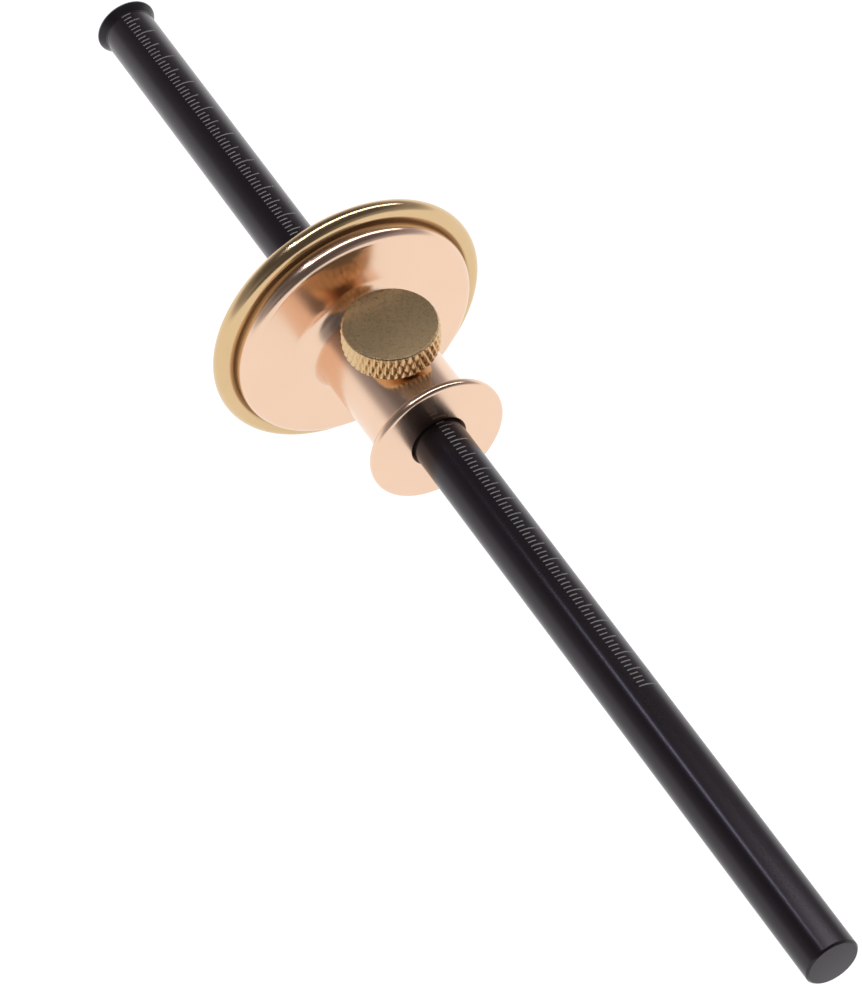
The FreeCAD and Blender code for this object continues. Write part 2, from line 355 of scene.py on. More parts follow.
def ease(value, low, high):
    """Goes smoothly from 0 at one value to 1 at another."""
    share = ((value - low) / (high - low)).maths("MINIMUM", 1.0).maths("MAXIMUM", 0.0)
    return share * share * (share * -2.0 + 3.0)


def turned_finish(name, shade, roughness, stations, lines, mottling, grime=None):
    """A finish for a piece turned on a lathe about X, or about the thumbscrew's axis.

    Fine lines follow the distance along the axis plus the distance from it, so that they are rings on
    a flat face and on a cylinder alike. A slow noise mottles the colour and the roughness. Painted
    shade, given as a function of the station and the radius that runs from 0 to 1, darkens a corner.
    """
    finish = Finish(name, Metallic=1.0)
    x, y, z = finish.axes()
    if stations == "X":
        run = x + radius_of(y, z)
    else:
        run = z + radius_of(x - SCREW_X / MM, y)
    fine = finish.line_noise(run, 22.0)
    slow = finish.noise(0.16, 2.0)
    speck = finish.noise(1.7, 3.0)
    blend = slow * 0.7 + speck * 0.3
    clean = finish.mix(blend, tint(shade, 1.0 - mottling), tint(shade, 1.0 + mottling))
    # Painted shade: the corner where two parts meet is darkened towards a dark tint of the colour.
    if grime:
        clean = finish.mix(grime(x, radius_of(y, z)) * 0.55, clean, tint(shade, 0.35))
    finish.set("Base Color", clean)
    finish.set("Roughness", (fine - 0.5) * 0.08 + (speck - 0.5) * 0.05 + roughness)
    finish.bump(fine * 0.8 + speck * 0.2, lines)
    return finish.material


def gold_finish(colours):
    """Gold anodising, with painted shade on the back of the large flange's rim, where it meets the brass
    bead.
    """
    def grime(station, radius):
        """Where the painted shade lies: the flange's back side, near its rim."""
        return ease(station, -3.9, -3.2) * ease(radius, 17.0, 17.4)

    return turned_finish("gold_anodised", colours.gold, 0.2, "X", 0.05, 0.03, grime)


def brass_finish(colours):
    """Turned brass, with painted shade down the bead's inner side, where it meets the hub's flange."""
    def grime(station, radius):
        """Where the painted shade lies: the bead's inner side."""
        return ease(station * -1.0, 2.0, 2.2) * ease(radius * -1.0, -19.7, -19.1)

    return turned_finish("turned_brass", colours.brass, 0.17, "X", 0.08, 0.07, grime)


def knob_brass_finish(colours):
    """Brass of the knob: rings on its flat top and round its side, and a stronger mottling."""
    return turned_finish("knob_brass", colours.brass, 0.28, "Z", 0.06, 0.14)


def black_finish(colours):
    """Black oxide on fine-turned steel: satin, with a faint mottling of the coating."""
    glint = {"Specular IOR Level": 0.42, "Specular Tint": (0.95, 0.86, 1.0, 1.0)}
    finish = Finish("black_oxide", Metallic=0.0, **glint)
    x, y, z = finish.axes()
    fine = finish.line_noise(x + radius_of(y, z), 18.0)
    slow = finish.noise(0.08, 2.0, (3.0, 1.0, 1.0))
    speck = finish.noise(3.0, 4.0)
    blend = slow * 0.6 + speck * 0.4
    finish.set("Base Color", finish.mix(blend, tint(colours.black, 0.75), tint(colours.black, 1.35)))
    finish.set("Roughness", (fine - 0.5) * 0.06 + (speck - 0.5) * 0.06 + 0.22)
    finish.bump(fine * 0.6 + speck * 0.4, 0.04)
    return finish.material


def wheel_finish(colours):
    """Hardened steel wheel: black, with the ground bevel's rings and a bright honed rim."""
    finish = Finish("hardened_steel", Metallic=0.6, **{"Specular IOR Level": 0.6})
    x, y, z = finish.axes()
    radius = radius_of(y, z)
    fine = finish.line_noise(x + radius, 40.0)
    speck = finish.noise(2.5, 4.0)
    rim = (radius - (WHEEL_HIGH[2] / MM - 0.10)) * 12.0
    rim = rim.maths("MINIMUM", 1.0).maths("MAXIMUM", 0.0)
    dark = finish.mix(speck, tint(colours.black, 1.2), tint(colours.black, 2.2))
    finish.set("Base Color", finish.mix(rim, dark, (0.25, 0.25, 0.26)))
    finish.set("Roughness", (fine - 0.5) * 0.15 + 0.34)
    finish.bump(fine, 0.15)
    return finish.material


def mark_finish(colours):
    """Etched marks: pale, matt and slightly uneven."""
    finish = Finish("etched_marks", **{"Specular IOR Level": 0.3})
    speck = finish.noise(9.0, 3.0)
    finish.set("Base Color", finish.mix(speck, tint(colours.mark, 0.7), tint(colours.mark, 1.3)))
    finish.set("Roughness", speck * 0.2 + 0.5)
    return finish.material


def screw_finish(name, shade, roughness):
    """Turned steel of a screw, with fine rings along X and a specked colour."""
    finish = Finish(name, Metallic=0.9)
    speck = finish.noise(4.0, 4.0)
    fine = finish.line_noise(finish.axes()[0], 30.0)
    finish.set("Base Color", finish.mix(speck, tint(shade, 0.8), tint(shade, 1.1)))
    finish.set("Roughness", (speck - 0.5) * 0.15 + (fine - 0.5) * 0.1 + roughness)
    finish.bump(fine * 0.5 + speck * 0.5, 0.1)
    return finish.material


def rubber_finish(colours):
    """Black rubber: matt, with a fine speck."""
    finish = Finish("ring_rubber", **{"Specular IOR Level": 0.4})
    speck = finish.noise(12.0, 4.0)
    finish.set("Base Color", finish.mix(speck, tint(colours.rubber, 0.7), tint(colours.rubber, 1.5)))
    finish.set("Roughness", speck * 0.2 + 0.6)
    finish.bump(speck, 0.2)
    return finish.material


def floor_finish(shade):
    """Plain pale sheet lit from behind, so that no shadow shows on it."""
    finish = Finish(
        "floor_paper",
        **{"Specular IOR Level": 0.1, "Emission Color": (1.0, 1.0, 1.0, 1.0), "Emission Strength": 1.0},
    )
    grain = finish.noise(0.5, 2.0)
    finish.set("Base Color", finish.mix(grain, tint(shade, 0.995), tint(shade, 1.005)))
    finish.set("Roughness", grain * 0.1 + 0.85)
    return finish.material


# ---------------------------------------------------------------- shapes


def rounded(corners, steps=8):
    """Outline through corners (along, out, radius), each corner with a radius turned into an arc.

    A corner's arc starts and ends at radius * tan(turn / 2) from it along its two sides, and its
    centre lies on the line that halves the angle between them. Corners at the ends stay sharp.
    """
    places = [np.array(corner[:2], float) for corner in corners]
    outline = []
    for index, corner in enumerate(corners):
        radius = corner[2] if len(corner) > 2 else 0.0
        if not radius or index in (0, len(corners) - 1):
            outline.append(places[index])
            continue
        here = places[index]
        back = places[index - 1] - here
        ahead = places[index + 1] - here
        back /= np.linalg.norm(back)
        ahead /= np.linalg.norm(ahead)
        half = math.acos(np.clip(back @ ahead, -1.0, 1.0)) / 2
        middle = (back + ahead) / np.linalg.norm(back + ahead)
        centre = here + middle * radius / math.sin(half)
        first = here + back * radius / math.tan(half) - centre
        last = here + ahead * radius / math.tan(half) - centre
        turn = math.atan2(first[0] * last[1] - first[1] * last[0], first @ last)
        angles = np.linspace(0.0, turn, steps + 1)
        across = np.array([-first[1], first[0]])
        arc = np.cos(angles)[:, None] * first + np.sin(angles)[:, None] * across
        outline.extend(centre + arc)
    return np.array(outline)


def arc(centre, radius, start, end, steps):
    """Points on a circle, from one angle to another, in degrees."""
    angles = np.radians(np.linspace(start, end, steps + 1))
    return np.stack([centre[0] + radius * np.cos(angles), centre[1] + radius * np.sin(angles)], 1)


def grid_faces(rows, columns, close_rows):
    """Quads of a grid whose columns join up, and whose rows do too if close_rows is true."""
    row = np.arange(rows if close_rows else rows - 1)[:, None]
    column = np.arange(columns)[None, :]
    next_row = (row + 1) % rows
    next_column = (column + 1) % columns
    quads = np.stack(
        [
            row * columns + column,
            row * columns + next_column,
            next_row * columns + next_column,
            next_row * columns + column,
        ],
        -1,
    )
    return quads.reshape(-1, 4)


def turn_angles(count):
    """Angles evenly round a full turn."""
    return np.linspace(0.0, 2 * math.pi, count, endpoint=False)


def ring_grid(along, out, angles):
    """Points (along, -out * sin(angle), out * cos(angle)): a row for each ring round X."""
    along, out = np.broadcast_arrays(along, out * np.ones_like(angles))
    return np.stack([along, -out * np.sin(angles), out * np.cos(angles)], -1)


def with_poles(rings, start, end):
    """Vertices and faces of a grid of rings, closed by a point on the axis at each end."""
    rows, columns = rings.shape[:2]
    near = np.arange(columns)
    following = (near + 1) % columns
    pole = rows * columns
    last = pole - columns
    fans = np.vstack([
        np.stack([np.full(columns, pole), following, near], 1),
        np.stack([np.full(columns, pole + 1), last + near, last + following], 1),
    ])
    vertices = np.vstack([rings.reshape(-1, 3), [[start, 0.0, 0.0], [end, 0.0, 0.0]]])
    return vertices, grid_faces(rows, columns, False).tolist() + fans.tolist()


def saw_wave(phase):
    """Triangle wave: 0 at whole numbers and 1 halfway between them."""
    return 1 - np.abs(2 * (phase - np.floor(phase)) - 1)


def lathe(outline, segments, closed):
    """Surface of revolution about X: (along, out * cos, out * sin) for every outline point and angle.

    An outline that isn't closed starts and ends on the axis, and those two points become poles.
    """
    angles = turn_angles(segments)
    if closed:
        rings = ring_grid(outline[:, :1], outline[:, 1:], angles)
        return rings.reshape(-1, 3), grid_faces(len(outline), segments, True).tolist()
    rings = ring_grid(outline[1:-1, :1], outline[1:-1, 1:], angles)
    return with_poles(rings, outline[0][0], outline[-1][0])


def volume_sign(vertices, faces):
    """Whether the faces point out of the closed surface, from the sum of its signed tetrahedra."""
    total = 0.0
    points = np.asarray(vertices)
    for corners in (3, 4):
        chosen = np.array([face for face in faces if len(face) == corners])
        if len(chosen) == 0:
            continue
        for second in range(1, corners - 1):
            a, b, c = points[chosen[:, 0]], points[chosen[:, second]], points[chosen[:, second + 1]]
            total += np.einsum("ij,ij->i", a, np.cross(b, c)).sum()
    return 1 if total > 0 else -1


def add_object(name, data):
    """An object in the scene for a mesh, a curve, a light or a camera."""
    thing = bpy.data.objects.new(name, data)
    bpy.context.scene.collection.objects.link(thing)
    return thing


def smooth(mesh):
    """Shade a mesh smooth, but keep its edges that are sharper than the limit."""
    mesh.shade_smooth()
    mesh.set_sharp_from_angle(angle=SMOOTH_ANGLE)


def add_piece(name, vertices, faces, material):
    """A smooth mesh object whose faces point outwards."""
    if volume_sign(vertices, faces) < 0:
        faces = [list(face)[::-1] for face in faces]
    mesh = bpy.data.meshes.new(name)
    mesh.from_pydata(np.asarray(vertices).tolist(), [], [list(face) for face in faces])
    mesh.validate()
    piece = add_object(name, mesh)
    mesh.materials.append(material)
    smooth(mesh)
    return piece


def cut_away(piece, tools):
    """Take closed tool solids out of a piece, and keep the result as its mesh."""
    for tool in tools:
        modifier = piece.modifiers.new("cut", "BOOLEAN")
        modifier.operation = "DIFFERENCE"
        modifier.solver = "EXACT"
        modifier.object = tool
    bpy.context.view_layer.update()
    evaluated = piece.evaluated_get(bpy.context.evaluated_depsgraph_get())
    mesh = bpy.data.meshes.new_from_object(evaluated)
    piece.modifiers.clear()
    piece.data = mesh
    for tool in tools:
        bpy.data.objects.remove(tool)
    smooth(mesh)
    return piece


def moved(vertices, offset, turn=0.0):
    """The points turned about X, then moved."""
    matrix = np.array(Matrix.Rotation(turn, 3, "X"))
    return np.asarray(vertices) @ matrix.T + np.array(offset)


def upright(vertices, station):
    """Turn a shape made about X so that it stands along Z, over a station on the rod."""
    points = np.asarray(vertices)
    return np.stack([station - points[:, 2], points[:, 1], points[:, 0]], 1)


def seat(piece, body, slot, *nodes):
    """The piece moves with a body and stands for CAD nodes, which it hides. The slot is not used."""
    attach(piece, body)
    if nodes:
        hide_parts(*nodes)
    return piece


# ---------------------------------------------------------------- rod and scale


def build_rod(sizes, material):
    """Rod turned from an outline: chamfered tail, plain front and the tapped hole for the wheel."""
    back, front = ROD_LOW[0], ROD_HIGH[0]
    radius = ROD_RADIUS
    outline = rounded([
        (back, 0.0),
        (back, radius - sizes.chamfer, 0.05 * MM),
        (back + sizes.chamfer, radius, 0.1 * MM),
        (front, radius, 0.02 * MM),
        (front, sizes.tap_radius),
        (front - sizes.tap_depth, sizes.tap_radius),
        (front - sizes.tap_depth - sizes.tap_radius * 0.6, 0.0),
    ], 4)
    vertices, faces = lathe(outline, 160, False)
    return seat(add_piece("rod_bar", vertices, faces, material), "rod", "black_rod", "rod")


def scale_angle(sizes, distance):
    """Angle of the scale's baseline from the top, at a distance from the wheel's edge."""
    span = sizes.inches * INCH
    return sizes.start_angle + sizes.drift * distance / span


def mark_length(sizes, count):
    """Length of the mark that closes this many divisions."""
    per_inch = sizes.divisions
    for parts, size in ((4, sizes.quarter_mark), (8, sizes.eighth_mark), (16, sizes.sixteenth_mark)):
        if count % (per_inch // parts) == 0:
            return size
    return sizes.short_mark


def on_rod(along, angle, radius):
    """Point of the rod's surface: angle is measured from the top towards +Y."""
    return np.stack([along, radius * np.sin(angle), radius * np.cos(angle)], -1)


def build_marks(sizes, material):
    """Scale marks as thin curved bars that stand a hair over the rod.

    Each bar is a grid of four lines along the rod's surface, two over it and two just under it.
    """
    steps = 8
    vertices = []
    faces = []
    pitch = INCH / sizes.divisions
    for count in range(2, sizes.inches * sizes.divisions + 1):
        distance = count * pitch
        centre = SCALE_ZERO_X - distance
        start = scale_angle(sizes, distance)
        angles = np.linspace(start, start - mark_length(sizes, count) / ROD_RADIUS, steps + 1)
        over = ROD_RADIUS + sizes.mark_height
        under = ROD_RADIUS - MARK_ROOT
        half = sizes.mark_width / 2
        near_side, far_side = centre - half, centre + half
        lines = [(near_side, over), (far_side, over), (far_side, under), (near_side, under)]
        first = sum(len(part) for part in vertices)
        for along, radius in lines:
            vertices.append(on_rod(np.full(steps + 1, along), angles, radius))
        line = steps + 1
        for side in range(4):
            near = first + side * line
            far = first + (side + 1) % 4 * line
            faces += [[near + k, far + k, far + k + 1, near + k + 1] for k in range(steps)]
        faces.append([first + side * line for side in (3, 2, 1, 0)])
        faces.append([first + side * line + steps for side in range(4)])
    piece = add_piece("scale_marks", np.vstack(vertices), faces, material)
    return seat(piece, "rod", "black_rod")


def digit_mesh(text, height):
    """Flat outline of a number, centred on the origin, as a solid plate."""
    curve = bpy.data.curves.new("digit", "FONT")
    curve.body = text
    curve.size = height * 1.4
    curve.align_x = "CENTER"
    curve.align_y = "CENTER"
    curve.extrude = 0.03 * MM
    curve.resolution_u = 4
    holder = add_object("digit", curve)
    bpy.context.view_layer.update()
    mesh = bpy.data.meshes.new_from_object(holder.evaluated_get(bpy.context.evaluated_depsgraph_get()))
    bpy.data.objects.remove(holder)
    bpy.data.curves.remove(curve)
    return mesh


def build_digits(sizes, material):
    """Inch numbers: flat digits bent round the rod, one beside each inch mark."""
    vertices = []
    faces = []
    for inch in range(1, sizes.inches + 1):
        mesh = digit_mesh(str(inch), sizes.digit_height)
        work = bmesh.new()
        work.from_mesh(mesh)
        bmesh.ops.remove_doubles(work, verts=work.verts, dist=1e-7)
        long_edges = [edge for edge in work.edges if edge.calc_length() > 0.12 * MM]
        bmesh.ops.subdivide_edges(work, edges=long_edges, cuts=3, use_grid_fill=True)
        bmesh.ops.triangulate(work, faces=work.faces)
        work.verts.index_update()
        flat = np.array([vertex.co[:] for vertex in work.verts])
        corners = [[vertex.index for vertex in face.verts] for face in work.faces]
        work.free()
        bpy.data.meshes.remove(mesh)
        distance = inch * INCH
        along = SCALE_ZERO_X - distance + 3.0 * MM + flat[:, 1]
        middle = scale_angle(sizes, distance) - math.radians(52.0)
        angle = middle - flat[:, 0] / ROD_RADIUS
        radius = np.where(flat[:, 2] > 0, ROD_RADIUS + sizes.mark_height, ROD_RADIUS - MARK_ROOT)
        first = sum(len(part) for part in vertices)
        vertices.append(on_rod(along, angle, radius))
        faces += [[first + corner for corner in face] for face in corners]
    piece = add_piece("scale_digits", np.vstack(vertices), faces, material)
    return seat(piece, "rod", "black_rod")


# ---------------------------------------------------------------- cutting wheel and screws


def build_wheel(sizes, material):
    """Cutting wheel: flat outer face, honed rim, bevel that runs back to the rod's size."""
    outer, inner = WHEEL_HIGH[0], WHEEL_LOW[0]
    radius = WHEEL_HIGH[2] - 0.002 * MM
    outline = np.array([
        (inner, sizes.hole_radius),
        (outer - sizes.sink_depth, sizes.hole_radius),
        (outer, sizes.sink_radius),
        (outer, radius - sizes.edge / 2),
        (outer - sizes.edge, radius),
        (outer - 0.12 * MM, radius - 0.05 * MM),
        (inner + sizes.land, ROD_RADIUS + 0.02 * MM),
        (inner, ROD_RADIUS),
    ])
    vertices, faces = lathe(outline, 192, True)
    piece = add_piece("cutting_wheel", vertices, faces, material)
    return seat(piece, "cutter", "black_wheel", "cutter_wheel")


def hexagon_tool(radius, low, high):
    """Six-sided prism along X, to cut a socket."""
    angles = np.arange(6) * math.pi / 3
    ends = [
        np.stack([np.full(6, along), radius * np.cos(angles), radius * np.sin(angles)], 1)
        for along in (low, high)
    ]
    faces = [[k, (k + 1) % 6, (k + 1) % 6 + 6, k + 6] for k in range(6)]
    caps = [list(range(6))[::-1], list(range(6, 12))]
    return np.vstack(ends), faces, caps


def add_tool(name, vertices, faces):
    """A closed solid used only to cut another. Caps may have any number of sides."""
    mesh = bpy.data.meshes.new(name)
    mesh.from_pydata(np.asarray(vertices).tolist(), [], [list(face) for face in faces])
    work = bmesh.new()
    work.from_mesh(mesh)
    bmesh.ops.recalc_face_normals(work, faces=work.faces)
    work.to_mesh(mesh)
    work.free()
    return add_object(name, mesh)


def build_screw(node, body, slot, place, sizes, material):
    """Countersunk hex-socket screw along X with a rolled thread, its head's flat at place.

    sizes is (head radius, head depth, shank radius, length, socket radius, socket depth, pitch).
    The thread moves the shank's surface in and out as a triangle wave of station over pitch plus turn.
    """
    head, depth, shank, reach, socket, socket_depth, pitch = sizes
    steps = 64
    rows = int(round((reach - depth) / pitch * 10)) + 1
    angles = turn_angles(steps)
    stations = np.linspace(-depth, -reach, rows)[:, None]
    wave = saw_wave(stations / pitch + angles / (2 * math.pi))
    ends = np.minimum((-depth - stations) / (0.6 * pitch), (stations + reach) / (0.8 * pitch) + 0.3)
    radii = shank - 0.3 * pitch * wave * np.clip(ends, 0.0, 1.0)
    radii[-1] = shank * 0.8
    cap = rounded(
        [(0.0, 0.0), (0.0, head, 0.08 * MM), (-0.12 * MM, head, 0.05 * MM), (-depth, shank)], 3
    )[1:-1]
    rings = np.vstack([ring_grid(cap[:, :1], cap[:, 1:], angles), ring_grid(stations, radii, angles)])
    vertices, faces = with_poles(rings, 0.0, -reach)
    turn = math.atan2(-place[1], place[2])
    piece = add_piece(f"{node}_body", moved(vertices, place), faces, material)
    prism, sides, caps = hexagon_tool(socket, -socket_depth, 0.5 * MM)
    tool = add_tool("socket", moved(moved(prism, (0, 0, 0), turn), place), sides + caps)
    return seat(cut_away(piece, [tool]), body, slot, node)


# ---------------------------------------------------------------- fence and hub


def build_plate(sizes, material, screws):
    """Brass disc: an outline of the flat web and the round bead, and a countersunk hole per screw."""
    radius = PLATE_HIGH[2]
    bead = sizes.bead_round
    centre = (-bead, radius - bead)
    back = sizes.plate_thickness
    inner_round = 2.0 * MM
    hole = sizes.plate_hole_radius
    chamfer = 0.3 * MM
    foot = sizes.bead_foot_radius
    inner_centre = (-2 * bead + inner_round, centre[1])
    reach = math.degrees(math.asin((foot - centre[1]) / inner_round))
    outline = np.vstack([
        [(-chamfer, hole), (0.0, hole + chamfer)],
        arc(centre, bead, 0, 180, 28),
        arc(inner_centre, inner_round, 180, 180 - reach, 10)[1:],
        [(-back, hole)],
    ])
    vertices, faces = lathe(outline, 256, True)
    piece = add_piece("fence_disc", vertices, faces, material)
    sink = np.array([(1.0, 0.0), (1.0, 3.4), (-1.05, 1.35), (-4.0, 1.35), (-4.0, 0.0)]) * MM
    points, sides = lathe(sink, 64, False)
    tools = [
        add_tool("plate_hole", moved(points, (0.0, place[1], place[2])), sides) for place in screws
    ]
    return seat(cut_away(piece, tools), "head", "brass", "fence_plate")


def build_hub(sizes, material):
    """Spool turned in one outline: large flange, fillet, barrel, small flange, bore and ring groove.

    The large flange's front edge is a full round and its back edge is nearly sharp. The screw's hole
    comes down through the barrel, with a wide countersink over it that clears the barrel's top.
    """
    seat_x, front_x = HUB_HIGH[0], HUB_LOW[0]
    bore = sizes.bore_radius
    groove = (RING_LOW[0] + RING_HIGH[0]) / 2
    flange_front = seat_x - sizes.flange_thickness
    small_back = front_x + sizes.small_flange_thickness
    small_round = sizes.small_flange_round
    outline = rounded([
        (seat_x, bore),
        (seat_x, sizes.flange_radius, 0.3 * MM),
        (flange_front, sizes.flange_radius, sizes.flange_round),
        (flange_front, sizes.barrel_radius, sizes.fillet),
        (small_back, sizes.barrel_radius, 0.4 * MM),
        (small_back, sizes.small_flange_radius, small_round),
        (front_x, sizes.small_flange_radius, small_round),
        (front_x, bore + sizes.bore_chamfer, 0.15 * MM),
        (front_x + sizes.bore_chamfer, bore, 0.1 * MM),
        (groove - sizes.groove_half_width, bore),
        (groove - sizes.groove_half_width, sizes.groove_radius),
        (groove + sizes.groove_half_width, sizes.groove_radius),
        (groove + sizes.groove_half_width, bore),
    ], 12)
    vertices, faces = lathe(outline, 256, True)
    piece = add_piece("hub_spool", vertices, faces, material)
    hole = np.array([(1.0, 0.0), (1.0, 2.5), (7.2, 2.5), (9.0, 4.3), (9.0, 0.0)]) * MM
    points, sides = lathe(hole, 96, False)
    tool = add_tool("screw_hole", upright(points, SCREW_X), sides)
    return seat(cut_away(piece, [tool]), "head", "gold_aluminium", "hub")


def build_ring(material):
    """Rubber ring of round section in the hub's groove."""
    section = (RING_HIGH[0] - RING_LOW[0]) / 2
    centre = ((RING_LOW[0] + RING_HIGH[0]) / 2, RING_HIGH[2] - section)
    vertices, faces = lathe(arc(centre, section, 0, 345, 23), 128, True)
    return seat(add_piece("friction_ring", vertices, faces, material), "ring", "ring_rubber", "o_ring")


# ---------------------------------------------------------------- thumbscrew


def knurl(sizes, angles, height):
    """Depth of the diamond knurl, from 0 on a diamond's point to 1 in a groove.

    Two sets of grooves cross. Each is the wave |sin(pi u)| of the turns round the knob plus or minus
    the height in rows, and the product of the two leaves round-topped diamonds between them.
    """
    turns = sizes.knurls * angles / (2 * math.pi)
    rows = height / (2 * sizes.knurl_row)
    rising = np.abs(np.sin(math.pi * (turns + rows)))
    falling = np.abs(np.sin(math.pi * (turns - rows)))
    return 1 - rising * falling


def build_thumbscrew(sizes, material):
    """Knurled head on a threaded shank, as one grid of radius over angle and height.

    The outline gives each row's height and radius. On the head's side the knurl takes depth off the
    radius and fades out in the edge chamfers, and on the shank a triangle wave makes the thread.
    """
    top = SCREW_HIGH[2]
    bottom = top - sizes.head_height
    tip = SCREW_LOW[2]
    shank = sizes.shank_radius
    head = HEAD_RADIUS
    side_rows = 49
    cap = rounded([(top, 0.0), (top, head - 0.3 * MM, 0.05 * MM), (top - 0.16 * MM, head - 0.14 * MM)], 4)
    side_heights = np.linspace(top - 0.24 * MM, bottom + 0.2 * MM, side_rows)
    side = np.stack([side_heights, np.full(side_rows, head)], 1)
    under = rounded([
        (bottom + 0.08 * MM, head - 0.2 * MM),
        (bottom, head - 0.45 * MM, 0.1 * MM),
        (bottom, shank, 0.15 * MM),
        (bottom - 0.4 * MM, shank - 0.02 * MM),
    ], 4)
    thread_rows = 61
    thread_heights = np.linspace(bottom - 0.45 * MM, tip + 0.3 * MM, thread_rows)
    thread = np.stack([thread_heights, np.full(thread_rows, shank)], 1)
    socket = 0.9 * MM
    end = np.array([
        (tip, shank - 0.35 * MM), (tip, socket), (tip + 1.2 * MM, socket), (tip + 1.4 * MM, 0.0)
    ])
    outline = np.vstack([cap, side, under, thread, end])

    segments = sizes.knurls * 14
    angles = turn_angles(segments)
    heights = np.repeat(outline[1:-1, :1], segments, 1)
    radii = np.repeat(outline[1:-1, 1:], segments, 1)
    first = len(cap) - 1
    rows = slice(first, first + side_rows)
    depth = knurl(sizes, angles, heights[rows] - bottom)
    edge = np.minimum(top - heights[rows], heights[rows] - bottom) / (0.6 * MM)
    chamfer = 0.3 * MM * (1 - np.clip(edge, 0.0, 1.0))
    radii[rows] += 0.1 * MM - np.maximum(depth * sizes.knurl_depth, chamfer)
    last = first + side_rows + len(under)
    rows = slice(last, last + thread_rows)
    wave = saw_wave(heights[rows] / sizes.thread_pitch - angles / (2 * math.pi))
    radii[rows] -= sizes.thread_depth * (1 - wave)

    vertices, faces = with_poles(ring_grid(heights, radii, angles), outline[0, 0], outline[-1, 0])
    piece = add_piece("thumbscrew_knob", upright(vertices, SCREW_X), faces, material)
    return seat(piece, "thumbscrew", "knurled_brass", "thumbscrew")


def build_pad(material):
    """Swivel pad: a disc with a rounded rim and a peg that turns in the thumbscrew's tip."""
    low, high = PAD_LOW[2], PAD_HIGH[2]
    radius = (PAD_HIGH[0] - PAD_LOW[0]) / 2
    step = low + 0.8 * MM
    outline = rounded([
        (low, 0.0),
        (low, radius, 0.12 * MM),
        (step, radius, 0.12 * MM),
        (step, 0.8 * MM, 0.08 * MM),
        (high, 0.8 * MM, 0.15 * MM),
        (high, 0.0),
    ], 4)
    vertices, faces = lathe(outline, 96, False)
    piece = add_piece("swivel_pad", upright(vertices, SCREW_X), faces, material)
    return seat(piece, "pad", "pad_brass", "brake_pad")


# ---------------------------------------------------------------- stage


def aim(thing, place, target, roll=0.0):
    """Put a lamp or camera at a place, looking at a target."""
    toward = (Vector(target) - Vector(place)).to_track_quat("-Z", "Y").to_matrix().to_4x4()
    thing.matrix_world = Matrix.Translation(place) @ toward @ Matrix.Rotation(roll, 4, "Z")


def floor_tilt():
    """Slope, along X, of the surface that the disc's rim and the rod's tail rest on."""
    tail = ROD_LOW[0]
    rim = (PLATE_LOW[0] + PLATE_HIGH[0]) / 2
    return math.atan2(-ROD_RADIUS + PLATE_HIGH[2], tail - rim)


def build_floor(stage):
    """Large flat sheet along the line under the disc's rim and the rod's tail.

    It lies lower than that line, so that the rod clears it when it is slid all the way out behind.
    """
    slope = math.tan(floor_tilt())
    rim = (PLATE_LOW[0] + PLATE_HIGH[0]) / 2
    size = stage.floor_size / 2
    drop = PLATE_LOW[2] - stage.floor_drop
    corners = [(-size, -size), (size, -size), (size, size), (-size, size)]
    vertices = [(x, y, drop + slope * (x - rim)) for x, y in corners]
    mesh = bpy.data.meshes.new("floor")
    mesh.from_pydata(vertices, [], [(0, 1, 2, 3)])
    floor = add_object("floor", mesh)
    mesh.materials.append(floor_finish(stage.floor))


def add_striplight(name, start, end, width, power, shade=(1.0, 1.0, 1.0)):
    """Long soft light between two points, its face turned to the origin."""
    start, end = Vector(start), Vector(end)
    lamp = bpy.data.lights.new(name, "AREA")
    lamp.shape = "RECTANGLE"
    lamp.size = (end - start).length
    lamp.size_y = width
    lamp.energy = power
    lamp.color = shade
    holder = add_object(name, lamp)
    along = (end - start).normalized()
    middle = (start + end) / 2
    away = (middle - along * middle.dot(along)).normalized()
    turn = Matrix((along, away.cross(along), away)).transposed().to_4x4()
    holder.matrix_world = Matrix.Translation(middle) @ turn


def spherical(azimuth, elevation, distance):
    """Offset at an azimuth from +X and an elevation over the horizon, both in radians."""
    flat = math.cos(elevation) * distance
    return (flat * math.cos(azimuth), flat * math.sin(azimuth), math.sin(elevation) * distance)


def build_world():
    """Studio surround: pale at the floor, darker with height, and darkest behind the rod's tail."""
    world = bpy.data.worlds.new("studio")
    bpy.context.scene.world = world
    world.use_nodes = True
    tree = world.node_tree
    tree.nodes.clear()
    place = node_in(tree, "ShaderNodeTexCoord").outputs["Generated"]
    split = node_in(tree, "ShaderNodeSeparateXYZ", {}, {0: place})
    height = Value(tree, split.outputs[2])
    ramp = node_in(
        tree, "ShaderNodeValToRGB",
        {"stops": SURROUND}, {0: height * 0.5 + 0.5},
    )
    side = ease(Value(tree, split.outputs[1]) * 0.25 - Value(tree, split.outputs[0]), 0.7, 0.95)
    above = ease(height, -0.02, 0.06)
    strength = 1.0 - side * above * 0.72
    background = node_in(
        tree, "ShaderNodeBackground", {}, {"Color": ramp.outputs["Color"], "Strength": strength}
    )
    output = node_in(tree, "ShaderNodeOutputWorld")
    tree.links.new(background.outputs[0], output.inputs["Surface"])


def build_camera(stage):
    """Camera that looks at the stage's target from a distance, rolled about its line of sight."""
    lens = bpy.data.cameras.new("camera")
    lens.lens = stage.lens
    lens.sensor_width = 36.0
    lens.clip_start = 0.01
    camera = add_object("camera", lens)
    offset = spherical(stage.azimuth, stage.elevation, stage.distance)
    aim(camera, Vector(stage.target) + Vector(offset), stage.target, stage.roll)
    bpy.context.scene.camera = camera


# ---------------------------------------------------------------- operators


